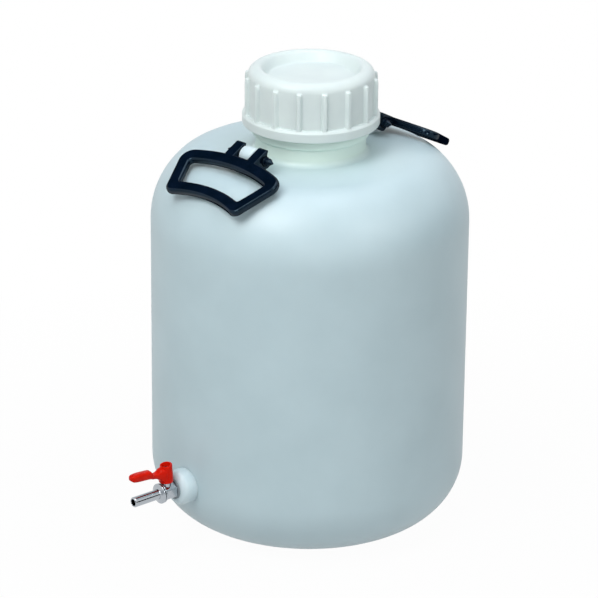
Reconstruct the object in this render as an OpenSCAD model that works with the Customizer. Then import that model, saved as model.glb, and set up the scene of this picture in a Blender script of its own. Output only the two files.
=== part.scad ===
// Twenty-litre carboy with a lever spigot, a ribbed screw cap and two hinged carrying handles.
// Frame: millimetres, +Z up, origin at the centre of the base. The handles lie on the Y axis.

/* [Bottle] */
// Outside diameter of the straight side
body_d = 290; // [270:1:310]
// Height at which the straight side ends and the shoulder begins
side_top = 287.4; // [250:0.2:320]
// Wall thickness of the blown body
wall = 3; // [2:0.1:4]
// Outside radius of the rounded corner round the base
base_corner_r = 57.5; // [45:0.5:62]
// Depth of the push-up in the base
push_up = 4; // [2:0.2:7]
// Radius of the lower half of the shoulder
shoulder_low_r = 72.1; // [66:0.1:80]
// Radius of the upper half of the shoulder
shoulder_high_r = 42; // [36:0.5:48]
// Angle at which the shoulder changes from one radius to the other
shoulder_turn = 45; // [35:1:55]
// Fall of the top of the shoulder, so that it drains
shoulder_fall = 1.5; // [0.5:0.1:3]

/* [Neck] */
// Outside diameter of the plain neck
neck_d = 100; // [96:0.5:104]
// Inside diameter of the mouth
mouth_d = 91; // [84:0.5:92]
// Radius where the neck runs into the shoulder
neck_fillet = 6; // [3:0.5:9]
// Height of the plain neck above the shoulder
neck_plain_h = 17.5; // [12:0.5:24]
// Diameter of the collar above the plain neck
collar_d = 106.4; // [104:0.2:108]
// Height of the collar
collar_h = 7; // [5:0.5:10]
// Height of the threaded neck above the collar
finish_h = 50; // [46:0.5:56]
// Outside diameter of the neck at the root of its thread
thread_root_d = 103; // [101:0.1:103.6]
// Room for the thread between the neck and the cap, on the radius
thread_room = 3.3; // [2.6:0.1:3.8]

/* [Cap] */
// Thickness of the cap's walls
cap_wall = 2.5; // [2:0.1:3]
// Height of the cap, from the lower edge to the rim
cap_h = 52.6; // [48:0.2:58]
// Radius of the rounded rim
cap_rim_r = 9.15; // [7:0.05:11]
// Radius that turns the rim down into the dish
dish_lip_r = 5; // [3:0.5:6]
// Depth of the dish in the top
dish_depth = 9.7; // [6:0.1:12]
// Radius of the flat floor of the dish
dish_floor_r = 40.5; // [34:0.5:41]
// Diameter of the band round the lower edge
band_d = 124.4; // [123:0.2:128]
// Height of the band
band_h = 10.3; // [8:0.1:13]
// Bevel on the upper edge of the band
band_bevel = 2; // [1:0.1:2.4]
// Number of grip ribs
rib_count = 16; // [8:2:20]
// Width of a grip rib
rib_w = 3; // [2:0.1:4]
// Height of a grip rib over the wall of the cap
rib_h = 3.4; // [2:0.1:3.6]
// Clearance between the dish and the mouth, on the radius
plug_gap = 0.5; // [0.3:0.05:1]
// Thickness of the sealing ring
gasket_t = 1.9; // [1.5:0.1:2.5]

/* [Handles] */
// Distance of the hinge pins from the bottle's axis
hinge_r = 76.2; // [75:0.2:80]
// Height of the hinge pins over the shoulder
hinge_rise = 12.8; // [12:0.1:14]
// Diameter of a hinge pin
pin_d = 8.4; // [7:0.1:9]
// Thickness of a handle
grip_t = 7; // [6:0.2:8]
// Rounding of a handle's edges
grip_edge_r = 2.2; // [1.5:0.1:2.2]
// Distance from the pin to the middle of the handle's thickness
grip_offset = 4.5; // [4:0.1:5]
// Distance from the pin to the near side of the handle
grip_start = 9.2; // [9:0.1:11]
// Radius of the near side of the handle
fan_r = 167.5; // [150:0.5:185]
// Half of the angle that the handle spans
fan_half = 22.2; // [20:0.1:24]
// Width of the bar beside the hinge
near_bar_w = 13.3; // [12:0.1:15]
// Width of the bar that the hand holds
far_bar_w = 12; // [11.6:0.1:14]
// Width of the two end bars
end_bar_w = 11.8; // [11.6:0.1:14]
// Length of the window between the two curved bars
window_l = 27.6; // [24:0.2:32]
// Radius of the corners beside the hinge
near_corner_r = 12.5; // [8:0.1:14]
// Radius of the corners at the hand's side
far_corner_r = 7.5; // [4:0.1:9]
// Radius of the corners of the window
window_corner_r = 4; // [2:0.1:5]
// Width of each hinge arm
arm_w = 10.5; // [9:0.1:12]
// Width of the moulded lug between the arms
lug_w = 15; // [12:0.1:16]
// Gap between an arm and the lug
arm_gap = 1; // [0.5:0.1:1.5]
// Outside radius of the eye in an arm
eye_r = 8; // [7.4:0.1:8.2]
// Angle of the snap mouth in the eye
eye_mouth = 84; // [70:1:95]
// Length of the pointed head at each end of a pin
pin_head_l = 10; // [8:0.5:12]
// Radius of a pin's head where it bears on the arm
pin_head_r = 5.4; // [5:0.1:5.8]
// Gap between the resting handle and the shoulder
rest_gap = 0.4; // [0.3:0.05:0.8]

/* [Spigot] */
// Angle of the spigot round the bottle, from the handles' plane
tap_turn = -5; // [-10:0.5:0]
// Height of the spigot's axis
tap_z = 60.6; // [56:0.2:66]
// Radius of the moulded boss
boss_r = 16.3; // [15:0.1:18]
// Distance from the bottle's axis to the face of the boss
boss_face = 159.1; // [157:0.1:161]
// Radius that runs the boss into the wall
boss_fillet = 1.5; // [1:0.1:3]
// Rounding of the boss's front edge
boss_edge_r = 6.5; // [4:0.1:7]
// Thickness of the sealing washer on the boss
boss_seal_t = 1; // [0.8:0.1:1.4]
// Outside radius of the sealing washer
boss_seal_r = 9.4; // [8.6:0.1:9.6]
// Radius of the valve's screwed spigot
spigot_r = 6.5; // [6:0.1:7]
// Width across the flats of the valve's body
valve_af = 15; // [14.4:0.1:16]
// Length of the hexagonal body on the bottle's side of the ball
valve_in_l = 8; // [7.4:0.1:9]
// Length of the valve's body on the hose's side of the ball
valve_out_l = 6.2; // [6:0.1:6.8]
// Width of the round flange that ends the body on the hose's side
flange_w = 1.4; // [1:0.1:2]
// Radius of the round flange
flange_r = 9.2; // [8.8:0.1:9.4]
// Radius of the ball
ball_r = 4.2; // [4:0.05:4.3]
// Radius of the way through the valve
way_r = 2.6; // [2:0.1:2.8]
// Radius of the chamber that holds the ball and its seats
chamber_r = 5.4; // [5.2:0.05:5.6]
// Thickness of a seat
seat_t = 1.6; // [1.4:0.05:1.8]
// Radius of the stem
stem_r = 2; // [1.6:0.1:2.2]
// Outside radius of the hose nipple's collar
nipple_collar_r = 9.4; // [8.8:0.1:10]
// Length of the collar, with the groove before it and the cone behind it
nipple_collar_l = 3.2; // [2.8:0.1:4]
// Width of the groove between the valve's flange and the collar
groove_w = 0.6; // [0.4:0.1:1]
// Outside radius of the hose nipple
nipple_r = 4.75; // [4:0.05:5]
// Radius of the bore of the hose nipple
nipple_bore_r = 3.2; // [2.8:0.1:3.4]
// Length of the hose nipple in front of its collar
nipple_l = 28.1; // [20:0.1:32]

/* [Lever] */
// Radius of the lever's hub
hub_r = 6.6; // [6.2:0.1:7]
// Radius of the hub at its top
hub_top_r = 5.3; // [5:0.1:5.8]
// Height of the underside of the hub over the spigot's axis
hub_low = 9.8; // [9.8:0.1:10.4]
// Height of the top of the hub over the spigot's axis
hub_top = 27.7; // [26:0.1:30]
// Slant of the hub's top, down towards the paddle
hub_slant = 14; // [8:1:18]
// Distance from the hub's axis to the tip of the lever
lever_l = 41; // [36:0.5:48]
// Width of the paddle
paddle_w = 8.6; // [7:0.1:9.4]
// Height of the paddle's section
paddle_h = 7.7; // [6:0.1:8]
// Height of the paddle's middle over the spigot's axis
paddle_z = 23; // [21:0.2:25]
// Rise of the paddle from its root to its tip
paddle_rise = 1.4; // [0:0.1:3]

/* [Clearances] */
// Clearance of a turning fit, on the radius
run_gap = 0.08; // [0.04:0.01:0.1]
// Clearance of a fixed fit, on the radius
fit_gap = 0.05; // [0.02:0.01:0.1]
// Gap between the sealing ring and the rounded corner inside the cap
gasket_gap = 0.3; // [0.2:0.05:0.6]

/* [Hidden] */
$fn = 96;
eps = 0.01;
// A small step that keeps two joined faces from lying in one plane.
step = 0.12;
far = 400;

body_r = body_d / 2;
// Centres of the two shoulder arcs, as [radius, height].
low_c = [body_r - shoulder_low_r, side_top];
high_c = low_c + (shoulder_low_r - shoulder_high_r) * [cos(shoulder_turn), sin(shoulder_turn)];
function shoulder_end(inset) = high_c + (shoulder_high_r - inset) * [sin(shoulder_fall), cos(shoulder_fall)];
function shoulder_z(r, inset) =
    shoulder_end(inset)[1] + (shoulder_end(inset)[0] - r) * tan(shoulder_fall);
neck_r = neck_d / 2;
mouth_r = mouth_d / 2;
collar_z = shoulder_z(neck_r, 0) + neck_plain_h;
finish_z = collar_z + collar_h;
rim_z = finish_z + finish_h;
rim_round = 1;
push_floor_r = body_r - base_corner_r - 6;

thread_root_r = thread_root_d / 2;
cap_in_r = thread_root_r + thread_room;

cap_out_r = cap_in_r + cap_wall;
cap_under = rim_z + gasket_t;
cap_top = cap_under + cap_wall + 0.5;
cap_low = cap_top - cap_h;
cap_crest_r = cap_out_r - cap_rim_r;
cap_corner_r = 5;
band_r = band_d / 2;
dish_z = cap_top - dish_depth;
dish_wall_r = mouth_r - plug_gap;
rib_top = cap_top - cap_rim_r;
gasket_in_r = mouth_r + 0.4;
gasket_out_r = cap_in_r - cap_corner_r - gasket_gap;

pin_r = pin_d / 2;
hinge_z = shoulder_z(hinge_r, 0) + hinge_rise;
eye_bore_r = pin_r + run_gap;
lug_r = eye_r + 0.4;
arm_in = lug_w / 2 + arm_gap;
arm_out = arm_in + arm_w;
near_in_r = fan_r - near_bar_w;
far_out_r = near_in_r - window_l;
far_in_r = far_out_r - far_bar_w;
fan_y = grip_start + fan_r;
// The handle rests where the inner edge of its far bar meets the shoulder's upper arc.
rest_pt = [fan_y - far_out_r + grip_edge_r, grip_offset - grip_t / 2 + grip_edge_r];
rest_l = norm(rest_pt);
pin_to_arc = high_c - [hinge_r, hinge_z];
rest_reach = shoulder_high_r + grip_edge_r + rest_gap;
rest_corner = acos((pow(norm(pin_to_arc), 2) + pow(rest_l, 2) - pow(rest_reach, 2))
                   / (2 * norm(pin_to_arc) * rest_l));
handle_rest = atan2(rest_pt[1], rest_pt[0])
              - atan2(pin_to_arc[1], pin_to_arc[0]) - rest_corner;

ball_x = boss_face + boss_seal_t + valve_in_l;
seat_out = ball_r + 0.4;
nipple_seal_t = 0.5;
seat_in = seat_out - seat_t;
stem_neck_r = 4.6;
stem_neck_top = 10.6;
gland_r = 3.4;
gland_low = 7.6;
stem_top = 22;
slot_w = 1.8;
slot_low = way_r + 0.4;
screw_head_r = 3;
screw_r = 1.3;
recess_r = 3.9;
collar_start = valve_out_l;
nipple_start = collar_start + nipple_collar_l;

bottle_body();
screw_cap();
cap_gasket();
front_handle();
rear_handle();
front_hinge_pin();
rear_hinge_pin();
boss_seal();
valve_body();
valve_ball();
inlet_seat();
outlet_seat();
valve_stem();
stem_washer();
stem_seal();
gland_nut();
lever();
lever_screw();
nipple_seal();
hose_nipple();

// ---- placing ----

// Puts a piece modelled on the spigot's axis, +X outwards from the ball's centre, on the bottle.
module on_spigot() {
    rotate([0, 0, tap_turn - 90]) translate([ball_x, 0, tap_z]) children();
}

// Puts a piece modelled on the pin's axis, +Y away from the bottle, at the front or the rear hinge.
module at_hinge(side) {
    rotate([0, 0, side == "front" ? 180 : 0]) translate([0, hinge_r, hinge_z]) children();
}

// Turns a profile drawn as [radius, height along the axis] about the spigot's axis.
module turned() {
    rotate([0, 90, 0]) rotate_extrude() children();
}

// A ring or a disc about the spigot's axis, from x0 to x1.
module ring(x0, x1, r_out, r_in = 0) {
    turned() translate([r_in, x0]) square([r_out - r_in, x1 - x0]);
}

// A hexagonal bar about the spigot's axis with turned ends, one corner on top.
module hex_bar(x0, x1, across, bevel) {
    corner_r = across / sqrt(3);
    intersection() {
        translate([x0, 0, 0]) rotate([0, 90, 0])
            linear_extrude(x1 - x0) circle(r = corner_r, $fn = 6);
        turned() polygon([[0, x0], [corner_r - bevel, x0], [corner_r, x0 + bevel / 2],
                          [corner_r, x1 - bevel / 2], [corner_r - bevel, x1], [0, x1]]);
    }
}

// ---- bottle ----

// A slice of a disc about c, from angle a0 to a1 in degrees.
module slice(c, r, a0, a1) {
    intersection() {
        translate(c) circle(r = r);
        polygon([c, c + 2 * r * [cos(a0), sin(a0)], c + 2 * r * [cos(a1), sin(a1)]]);
    }
}

// Half of the body's section without the neck, moved in by inset from the outside surface.
module body_section(inset) {
    corner_c = [body_r - base_corner_r, base_corner_r];
    end = shoulder_end(inset);
    top_z = shoulder_z(mouth_r - 2, inset);
    translate([0, inset]) square([corner_c[0], base_corner_r]);
    translate(corner_c) circle(r = base_corner_r - inset);
    translate([0, base_corner_r]) square([body_r - inset, side_top - base_corner_r]);
    slice(low_c, shoulder_low_r - inset, -30, shoulder_turn);
    translate(high_c) circle(r = shoulder_high_r - inset);
    polygon([[0, side_top - 5], [high_c[0], side_top - 5], high_c, end, [mouth_r - 2, top_z], [0, top_z]]);
}

// Half of the neck's section, solid to the axis.
module neck_section() {
    foot_z = shoulder_z(neck_r + neck_fillet, 0);
    translate([0, side_top]) square([neck_r, collar_z - side_top]);
    difference() {
        translate([neck_r - 1, foot_z - 1.5]) square([neck_fillet + 1, neck_fillet + 1.5]);
        translate([neck_r + neck_fillet, foot_z + neck_fillet]) circle(r = neck_fillet);
    }
    polygon([[0, collar_z - 2], [neck_r, collar_z - 2], [collar_d / 2, collar_z],
             [collar_d / 2, finish_z - 1], [collar_d / 2 - 1, finish_z], [0, finish_z]]);
    translate([0, finish_z - 1]) square([thread_root_r, finish_h + 1 - rim_round]);
    translate([0, rim_z - rim_round - eps]) square([thread_root_r - rim_round, rim_round + eps]);
    translate([thread_root_r - rim_round, rim_z - rim_round]) circle(r = rim_round, $fn = 32);
}

// The push-up: a shallow dome under the floor.
module push_up_section(inset) {
    dome_r = (pow(push_floor_r, 2) + pow(push_up, 2)) / (2 * push_up);
    intersection() {
        translate([0, push_up - dome_r + inset]) circle(r = dome_r, $fn = 360);
        square([push_floor_r, push_up + inset]);
    }
}

// The moulded lug that carries a hinge pin, as a section on the pin's axis: +X away from the bottle.
module lug_section() {
    foot = hinge_rise + wall * 0.7;
    circle(r = lug_r);
    polygon([[-lug_r - 5, -foot], [lug_r - 1.2, -foot], [lug_r - 1.2, -lug_r * 0.5], [-lug_r + 0.2, 0]]);
}

module hinge_lug(side) {
    at_hinge(side) rotate([90, 0, 90]) translate([0, 0, -lug_w / 2])
        linear_extrude(lug_w) lug_section();
}

// The boss that the valve screws into, on the spigot's axis.
module outlet_boss() {
    x_face = boss_face - ball_x;
    x_wall = body_r - ball_x;
    turned() {
        translate([0, x_wall - wall * 0.8]) square([boss_r, x_face - boss_edge_r - x_wall + wall * 0.8]);
        translate([0, x_face - boss_edge_r - eps]) square([boss_r - boss_edge_r, boss_edge_r + eps]);
        slice([boss_r - boss_edge_r, x_face - boss_edge_r], boss_edge_r, 0, 90);
        difference() {
            translate([boss_r - 1, x_wall - wall * 0.8]) square([boss_fillet + 1, boss_fillet + wall * 0.8]);
            translate([boss_r + boss_fillet, x_wall + boss_fillet]) circle(r = boss_fillet);
        }
    }
}

module bottle_body() {
    color([0.80, 0.86, 0.88, 0.6]) difference() {
        union() {
            difference() {
                rotate_extrude() {
                    body_section(0);
                    neck_section();
                }
                rotate_extrude() {
                    difference() {
                        body_section(wall);
                        push_up_section(wall);
                    }
                }
                rotate_extrude() push_up_section(0);
            }
            hinge_lug("front");
            hinge_lug("rear");
            on_spigot() outlet_boss();
        }
        translate([0, 0, side_top]) cylinder(r = mouth_r, h = far);
        for (side = ["front", "rear"]) at_hinge(side)
            rotate([0, 90, 0]) cylinder(r = pin_r + fit_gap, h = 2 * lug_w, center = true);
        on_spigot() ring(body_r - wall * 3 - ball_x, boss_face - ball_x + 1, spigot_r + fit_gap);
    }
}

// ---- cap ----

module cap_section() {
    difference() {
        union() {
            difference() {
                union() {
                    translate([0, cap_low]) square([cap_out_r, cap_h - cap_rim_r]);
                    translate([0, cap_top - cap_rim_r]) square([cap_crest_r, cap_rim_r]);
                    slice([cap_crest_r, cap_top - cap_rim_r], cap_rim_r, 0, 90);
                    polygon([[0, cap_low], [band_r, cap_low], [band_r, cap_low + band_h - band_bevel],
                             [band_r - band_bevel, cap_low + band_h], [0, cap_low + band_h]]);
                }
                translate([0, cap_low - 1]) square([cap_in_r, cap_under - cap_corner_r - cap_low + 1]);
                translate([0, cap_under - cap_corner_r - eps])
                    square([cap_in_r - cap_corner_r, cap_corner_r + eps]);
                slice([cap_in_r - cap_corner_r, cap_under - cap_corner_r], cap_corner_r, 0, 90);
            }
            translate([0, dish_z - cap_wall]) square([dish_wall_r, cap_under - dish_z + cap_wall + eps]);
        }
        polygon([[0, dish_z], [dish_floor_r, dish_z], [cap_crest_r - dish_lip_r, cap_top - dish_lip_r],
                 [0, cap_top - dish_lip_r]]);
        difference() {
            translate([0, cap_top - dish_lip_r - eps]) square([cap_crest_r, dish_lip_r + 1]);
            translate([cap_crest_r, cap_top - dish_lip_r]) circle(r = dish_lip_r);
        }
    }
}

// One grip rib, with its top end bevelled over the rounded rim.
module grip_rib() {
    foot = cap_low + band_h - band_bevel - 1;
    rotate([90, 0, 0]) translate([0, 0, -rib_w / 2]) linear_extrude(rib_w)
        polygon([[cap_out_r - 1, foot], [cap_out_r + rib_h, foot], [cap_out_r + rib_h, rib_top - 1.6],
                 [cap_out_r + rib_h - 1.6, rib_top], [cap_out_r - 1, rib_top]]);
}

module screw_cap() {
    color([0.93, 0.95, 0.93]) union() {
        rotate_extrude() cap_section();
        for (i = [0:rib_count - 1]) rotate([0, 0, (i + 0.5) * 360 / rib_count]) grip_rib();
    }
}

module cap_gasket() {
    color([0.75, 0.75, 0.72]) rotate_extrude()
        translate([gasket_in_r, rim_z]) square([gasket_out_r - gasket_in_r, gasket_t]);
}

// ---- handles ----

// The section of a handle's bar, its outer edge on x = 0 and its width along +X.
module bar_section(w) {
    r = grip_edge_r;
    translate([0, r - grip_t / 2]) square([w, grip_t - 2 * r]);
    translate([r, -grip_t / 2]) square([w - 2 * r, grip_t]);
    for (x = [r, w - r], y = [r - grip_t / 2, grip_t / 2 - r]) translate([x, y]) circle(r = r);
}

// A curved bar between two radii, spanning half an angle each side of -Y.
module curved_bar(r_in, w, half) {
    rotate([0, 0, -90 - half]) rotate_extrude(angle = 2 * half) translate([r_in, 0]) bar_section(w);
}

// A rounded sector between two arcs about the origin, its straight sides moved in by side_in.
module fan_sector(r_out, r_in, side_in, corner_out, corner_in) {
    reach = 2 * fan_r;
    apex = [0, -side_in / sin(fan_half)];
    difference() {
        intersection() {
            circle(r = r_out, $fn = 360);
            polygon([apex, apex + reach * [-sin(fan_half), -cos(fan_half)],
                     apex + reach * [sin(fan_half), -cos(fan_half)]]);
        }
        circle(r = r_in, $fn = 360);
        for (side = [0, 1]) mirror([side, 0]) rotate(fan_half - 90) {
            corner_cut(r_out, side_in, corner_out, 1);
            corner_cut(r_in, side_in, corner_in, -1);
        }
    }
}

// What a rounded corner leaves off where the side y = -side_in meets the arc of radius r.
module corner_cut(r, side_in, corner, out) {
    y = -side_in - corner;
    rho = r - out * corner;
    c = [sqrt(pow(rho, 2) - pow(y, 2)), y];
    along = c + out * (corner + 1) * c / norm(c);
    tip = [r + out * 2, 1 - side_in];
    up = c + [0, corner + 1];
    difference() {
        polygon(out > 0 ? [c, along, tip, up] : [c, up, tip, along]);
        translate(c) circle(r = corner);
    }
}

// The fan-shaped loop about the centre of its arcs: two rounded bars between two flat end bars.
module fan_loop() {
    half = fan_half - asin((end_bar_w + window_corner_r + 1) / far_out_r);
    lap = 0.5;
    curved_bar(near_in_r, near_bar_w, half + lap);
    curved_bar(far_in_r, far_bar_w, half + lap);
    translate([0, 0, step - grip_t / 2]) linear_extrude(grip_t - 2 * step) difference() {
        fan_sector(fan_r - step, far_in_r + step, 0, near_corner_r, far_corner_r);
        fan_sector(near_in_r + step, far_out_r - step, end_bar_w, window_corner_r, window_corner_r);
        polygon([[0, 0], 2 * fan_r * [-sin(half), -cos(half)], 2 * fan_r * [sin(half), -cos(half)]]);
    }
}

// The side view of a hinge arm about the pin: +X along the handle, +Y over its top face.
module arm_section() {
    top = grip_offset + grip_t / 2 - step;
    mouth = eye_mouth / 2;
    mouth_dir = 190;
    difference() {
        union() {
            circle(r = eye_r);
            translate([0, grip_offset - grip_t / 2 + step])
                square([grip_start + grip_edge_r * 2, grip_t - 2 * step]);
            polygon([[0, top], [-eye_r * 0.95, top], [-eye_r * 0.78, eye_r / 2], [0, eye_r / 2]]);
        }
        circle(r = eye_bore_r);
        polygon([[0, 0], 2 * eye_r * [cos(mouth_dir - mouth), sin(mouth_dir - mouth)],
                 2 * eye_r * [cos(mouth_dir + mouth), sin(mouth_dir + mouth)]]);
    }
}

module handle(side) {
    color([0.05, 0.05, 0.09]) at_hinge(side) rotate([-handle_rest, 0, 0]) {
        union() {
            translate([0, fan_y, grip_offset]) fan_loop();
            for (x = [arm_in, -arm_out]) translate([x, 0, 0]) rotate([90, 0, 90])
                linear_extrude(arm_w) arm_section();
        }
    }
}

module front_handle() {
    handle("front");
}

module rear_handle() {
    handle("rear");
}

// A pin with a pointed snap head at each end.
module hinge_pin(side) {
    head_x = arm_out + 0.3;
    color([0.04, 0.04, 0.06]) at_hinge(side) turned() {
        polygon([[0, -head_x - pin_head_l], [1.4, -head_x - pin_head_l], [pin_head_r, -head_x - 1.5],
                 [pin_head_r, -head_x], [pin_r, -head_x], [pin_r, head_x], [pin_head_r, head_x],
                 [pin_head_r, head_x + 1.5], [1.4, head_x + pin_head_l], [0, head_x + pin_head_l]]);
    }
}

module front_hinge_pin() {
    hinge_pin("front");
}

module rear_hinge_pin() {
    hinge_pin("rear");
}

// ---- spigot ----

module boss_seal() {
    color([0.15, 0.15, 0.15]) on_spigot()
        ring(-valve_in_l - boss_seal_t, -valve_in_l, boss_seal_r, spigot_r + fit_gap);
}

module valve_body() {
    spigot_l = boss_face + boss_seal_t - body_r + wall * 1.4;
    color([0.78, 0.78, 0.80]) on_spigot() difference() {
        union() {
            hex_bar(-valve_in_l, valve_out_l - flange_w + step, valve_af, 0.8);
            ring(valve_out_l - flange_w, valve_out_l, flange_r);
            ring(-valve_in_l - spigot_l, -valve_in_l + 1, spigot_r);
            cylinder(r = stem_neck_r, h = stem_neck_top);
        }
        ring(-valve_in_l - spigot_l - 1, 0, way_r);
        ring(-seat_out, valve_out_l + 1, chamber_r);
        cylinder(r = stem_r + run_gap, h = stem_neck_top + 1);
        translate([0, 0, gland_low - 1.4]) cylinder(r = gland_r, h = stem_neck_top);
    }
}

module valve_ball() {
    color([0.85, 0.85, 0.87]) on_spigot() difference() {
        rotate([90, 0, 0]) sphere(r = ball_r);
        ring(-ball_r - 1, ball_r + 1, way_r);
        translate([-ball_r, -slot_w / 2, slot_low]) cube([2 * ball_r, slot_w, ball_r]);
    }
}

module seat() {
    difference() {
        ring(seat_in, seat_out, chamber_r - fit_gap, way_r);
        sphere(r = ball_r + run_gap / 2);
    }
}

module inlet_seat() {
    color([0.95, 0.95, 0.93]) on_spigot() mirror([1, 0, 0]) seat();
}

module outlet_seat() {
    color([0.95, 0.95, 0.93]) on_spigot() seat();
}

// The stem, with the tongue that turns the ball and the flange that stops it from blowing out.
module valve_stem() {
    tongue = slot_w - 2 * fit_gap;
    color([0.75, 0.75, 0.78]) on_spigot() difference() {
        union() {
            translate([-stem_r, -tongue / 2, slot_low + fit_gap]) cube([2 * stem_r, tongue, ball_r + 0.5 - slot_low]);
            translate([0, 0, ball_r + 0.3]) cylinder(r = stem_r, h = stem_top - ball_r - 0.3);
        }
        translate([0, 0, stem_top - 6]) cylinder(r = screw_r + fit_gap, h = 7);
    }
}

module stem_washer() {
    color([0.9, 0.9, 0.85]) on_spigot() difference() {
        translate([0, 0, gland_low - 1.4]) cylinder(r = gland_r - fit_gap, h = 0.6);
        cylinder(r = stem_r + run_gap, h = far);
    }
}

module stem_seal() {
    color([0.12, 0.12, 0.12]) on_spigot() difference() {
        translate([0, 0, gland_low - 0.8]) cylinder(r = gland_r - fit_gap, h = 1.4);
        cylinder(r = stem_r + run_gap, h = far);
    }
}

module gland_nut() {
    color([0.8, 0.7, 0.4]) on_spigot() difference() {
        translate([0, 0, gland_low + 0.6]) cylinder(r = gland_r - fit_gap, h = stem_neck_top - gland_low - 0.6);
        cylinder(r = stem_r + run_gap, h = far);
    }
}

// The hub of the lever: a tapered barrel with a slanted top and a recess for the screw.
module lever_hub() {
    difference() {
        rotate_extrude() polygon([[0, hub_low], [hub_r - 0.8, hub_low], [hub_r, hub_low + 1.2],
                                  [hub_r, hub_low + 5], [hub_top_r, hub_top], [0, hub_top]]);
        translate([-hub_top_r, 0, hub_top]) rotate([0, hub_slant, 0])
            translate([-hub_r, -far / 2, 0]) cube(far);
    }
}

// The arm and the paddle of the lever, hulled from round stations along it.
module lever_arm() {
    end_r = paddle_h / 2 * 0.86;
    waist_w = paddle_w - 1;
    waist_h = paddle_h * 0.62;
    waist_z = paddle_z - 3.7;
    module station(x, z, w, h) {
        translate([x, 0, z]) scale([h / w, 1, h / w]) rotate([0, 90, 0])
            cylinder(d = w, h = 1, center = true, $fn = 28);
    }
    hull() {
        station(3, waist_z - 2.6, 11.4, 10.6);
        station(9, waist_z - 0.8, waist_w + 1, waist_h + 2.6);
    }
    hull() {
        station(9, waist_z - 0.8, waist_w + 1, waist_h + 2.6);
        station(13.5, waist_z, waist_w, waist_h);
    }
    hull() {
        station(13.5, waist_z, waist_w, waist_h);
        station(16.6, waist_z + 0.5, waist_w, waist_h);
    }
    hull() {
        station(16.6, waist_z + 0.5, waist_w, waist_h);
        station(19.4, paddle_z - paddle_rise / 2, paddle_w, paddle_h);
    }
    hull() {
        station(19.4, paddle_z - paddle_rise / 2, paddle_w, paddle_h);
        station(lever_l - end_r - 1, paddle_z + paddle_rise / 2, paddle_w, paddle_h);
        translate([lever_l - end_r, 0, paddle_z + paddle_rise / 2]) sphere(r = end_r, $fn = 20);
    }
}

module lever() {
    color([0.80, 0.10, 0.05]) on_spigot() difference() {
        union() {
            lever_hub();
            lever_arm();
        }
        cylinder(r = stem_neck_r + 0.4, h = stem_neck_top + 0.4);
        cylinder(r = stem_r + fit_gap, h = far);
        translate([0, 0, stem_top]) cylinder(r = recess_r, h = far);
    }
}

module lever_screw() {
    color([0.7, 0.7, 0.72]) on_spigot() difference() {
        union() {
            translate([0, 0, stem_top]) cylinder(r = screw_head_r, h = 1.6);
            translate([0, 0, stem_top - 5]) cylinder(r = screw_r, h = 5 + eps);
        }
        translate([-screw_head_r, -0.35, stem_top + 0.9]) cube([2 * screw_head_r, 0.7, 1]);
    }
}

module nipple_seal() {
    color([0.12, 0.12, 0.12]) on_spigot()
        ring(seat_out, seat_out + nipple_seal_t, chamber_r - fit_gap, way_r + 0.3);
}

module hose_nipple() {
    cone_l = nipple_collar_l * 0.4;
    groove_r = nipple_collar_r - 1.8;
    color([0.80, 0.80, 0.82]) on_spigot() difference() {
        union() {
            ring(seat_out + nipple_seal_t, collar_start + 1, chamber_r - fit_gap);
            turned() polygon([[0, collar_start], [groove_r, collar_start], [groove_r, collar_start + groove_w],
                              [nipple_collar_r, collar_start + groove_w], [nipple_collar_r, nipple_start - cone_l],
                              [nipple_r, nipple_start], [nipple_r, nipple_start + nipple_l - 0.8],
                              [nipple_r - 0.8, nipple_start + nipple_l], [0, nipple_start + nipple_l]]);
        }
        ring(0, collar_start, way_r);
        ring(collar_start - eps, nipple_start + nipple_l + 1, nipple_bore_r);
    }
}
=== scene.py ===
import bmesh
import bpy
import numpy as np
from mathutils import Matrix, Vector


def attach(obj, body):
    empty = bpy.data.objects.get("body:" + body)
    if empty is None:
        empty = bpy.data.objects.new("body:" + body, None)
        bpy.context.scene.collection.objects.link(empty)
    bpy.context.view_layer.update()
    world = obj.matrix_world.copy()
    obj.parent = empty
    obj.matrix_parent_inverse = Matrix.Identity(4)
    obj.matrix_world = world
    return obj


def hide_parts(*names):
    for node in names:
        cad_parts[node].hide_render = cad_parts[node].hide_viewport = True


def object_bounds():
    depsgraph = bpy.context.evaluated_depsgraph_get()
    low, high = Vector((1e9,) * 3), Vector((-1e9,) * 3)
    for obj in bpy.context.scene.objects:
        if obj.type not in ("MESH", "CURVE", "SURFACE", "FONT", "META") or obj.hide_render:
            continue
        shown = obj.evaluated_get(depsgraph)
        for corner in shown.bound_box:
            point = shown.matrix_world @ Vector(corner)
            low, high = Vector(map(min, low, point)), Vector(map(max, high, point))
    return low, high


mm = 0.001
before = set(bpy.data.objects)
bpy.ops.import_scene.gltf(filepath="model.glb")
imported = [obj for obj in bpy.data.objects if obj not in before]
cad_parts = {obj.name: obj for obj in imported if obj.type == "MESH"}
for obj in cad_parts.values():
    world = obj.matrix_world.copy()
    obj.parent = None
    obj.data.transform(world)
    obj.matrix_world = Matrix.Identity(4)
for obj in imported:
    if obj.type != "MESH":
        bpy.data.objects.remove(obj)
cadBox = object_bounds()
print("frame loaded:", len(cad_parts), "nodes")


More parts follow.
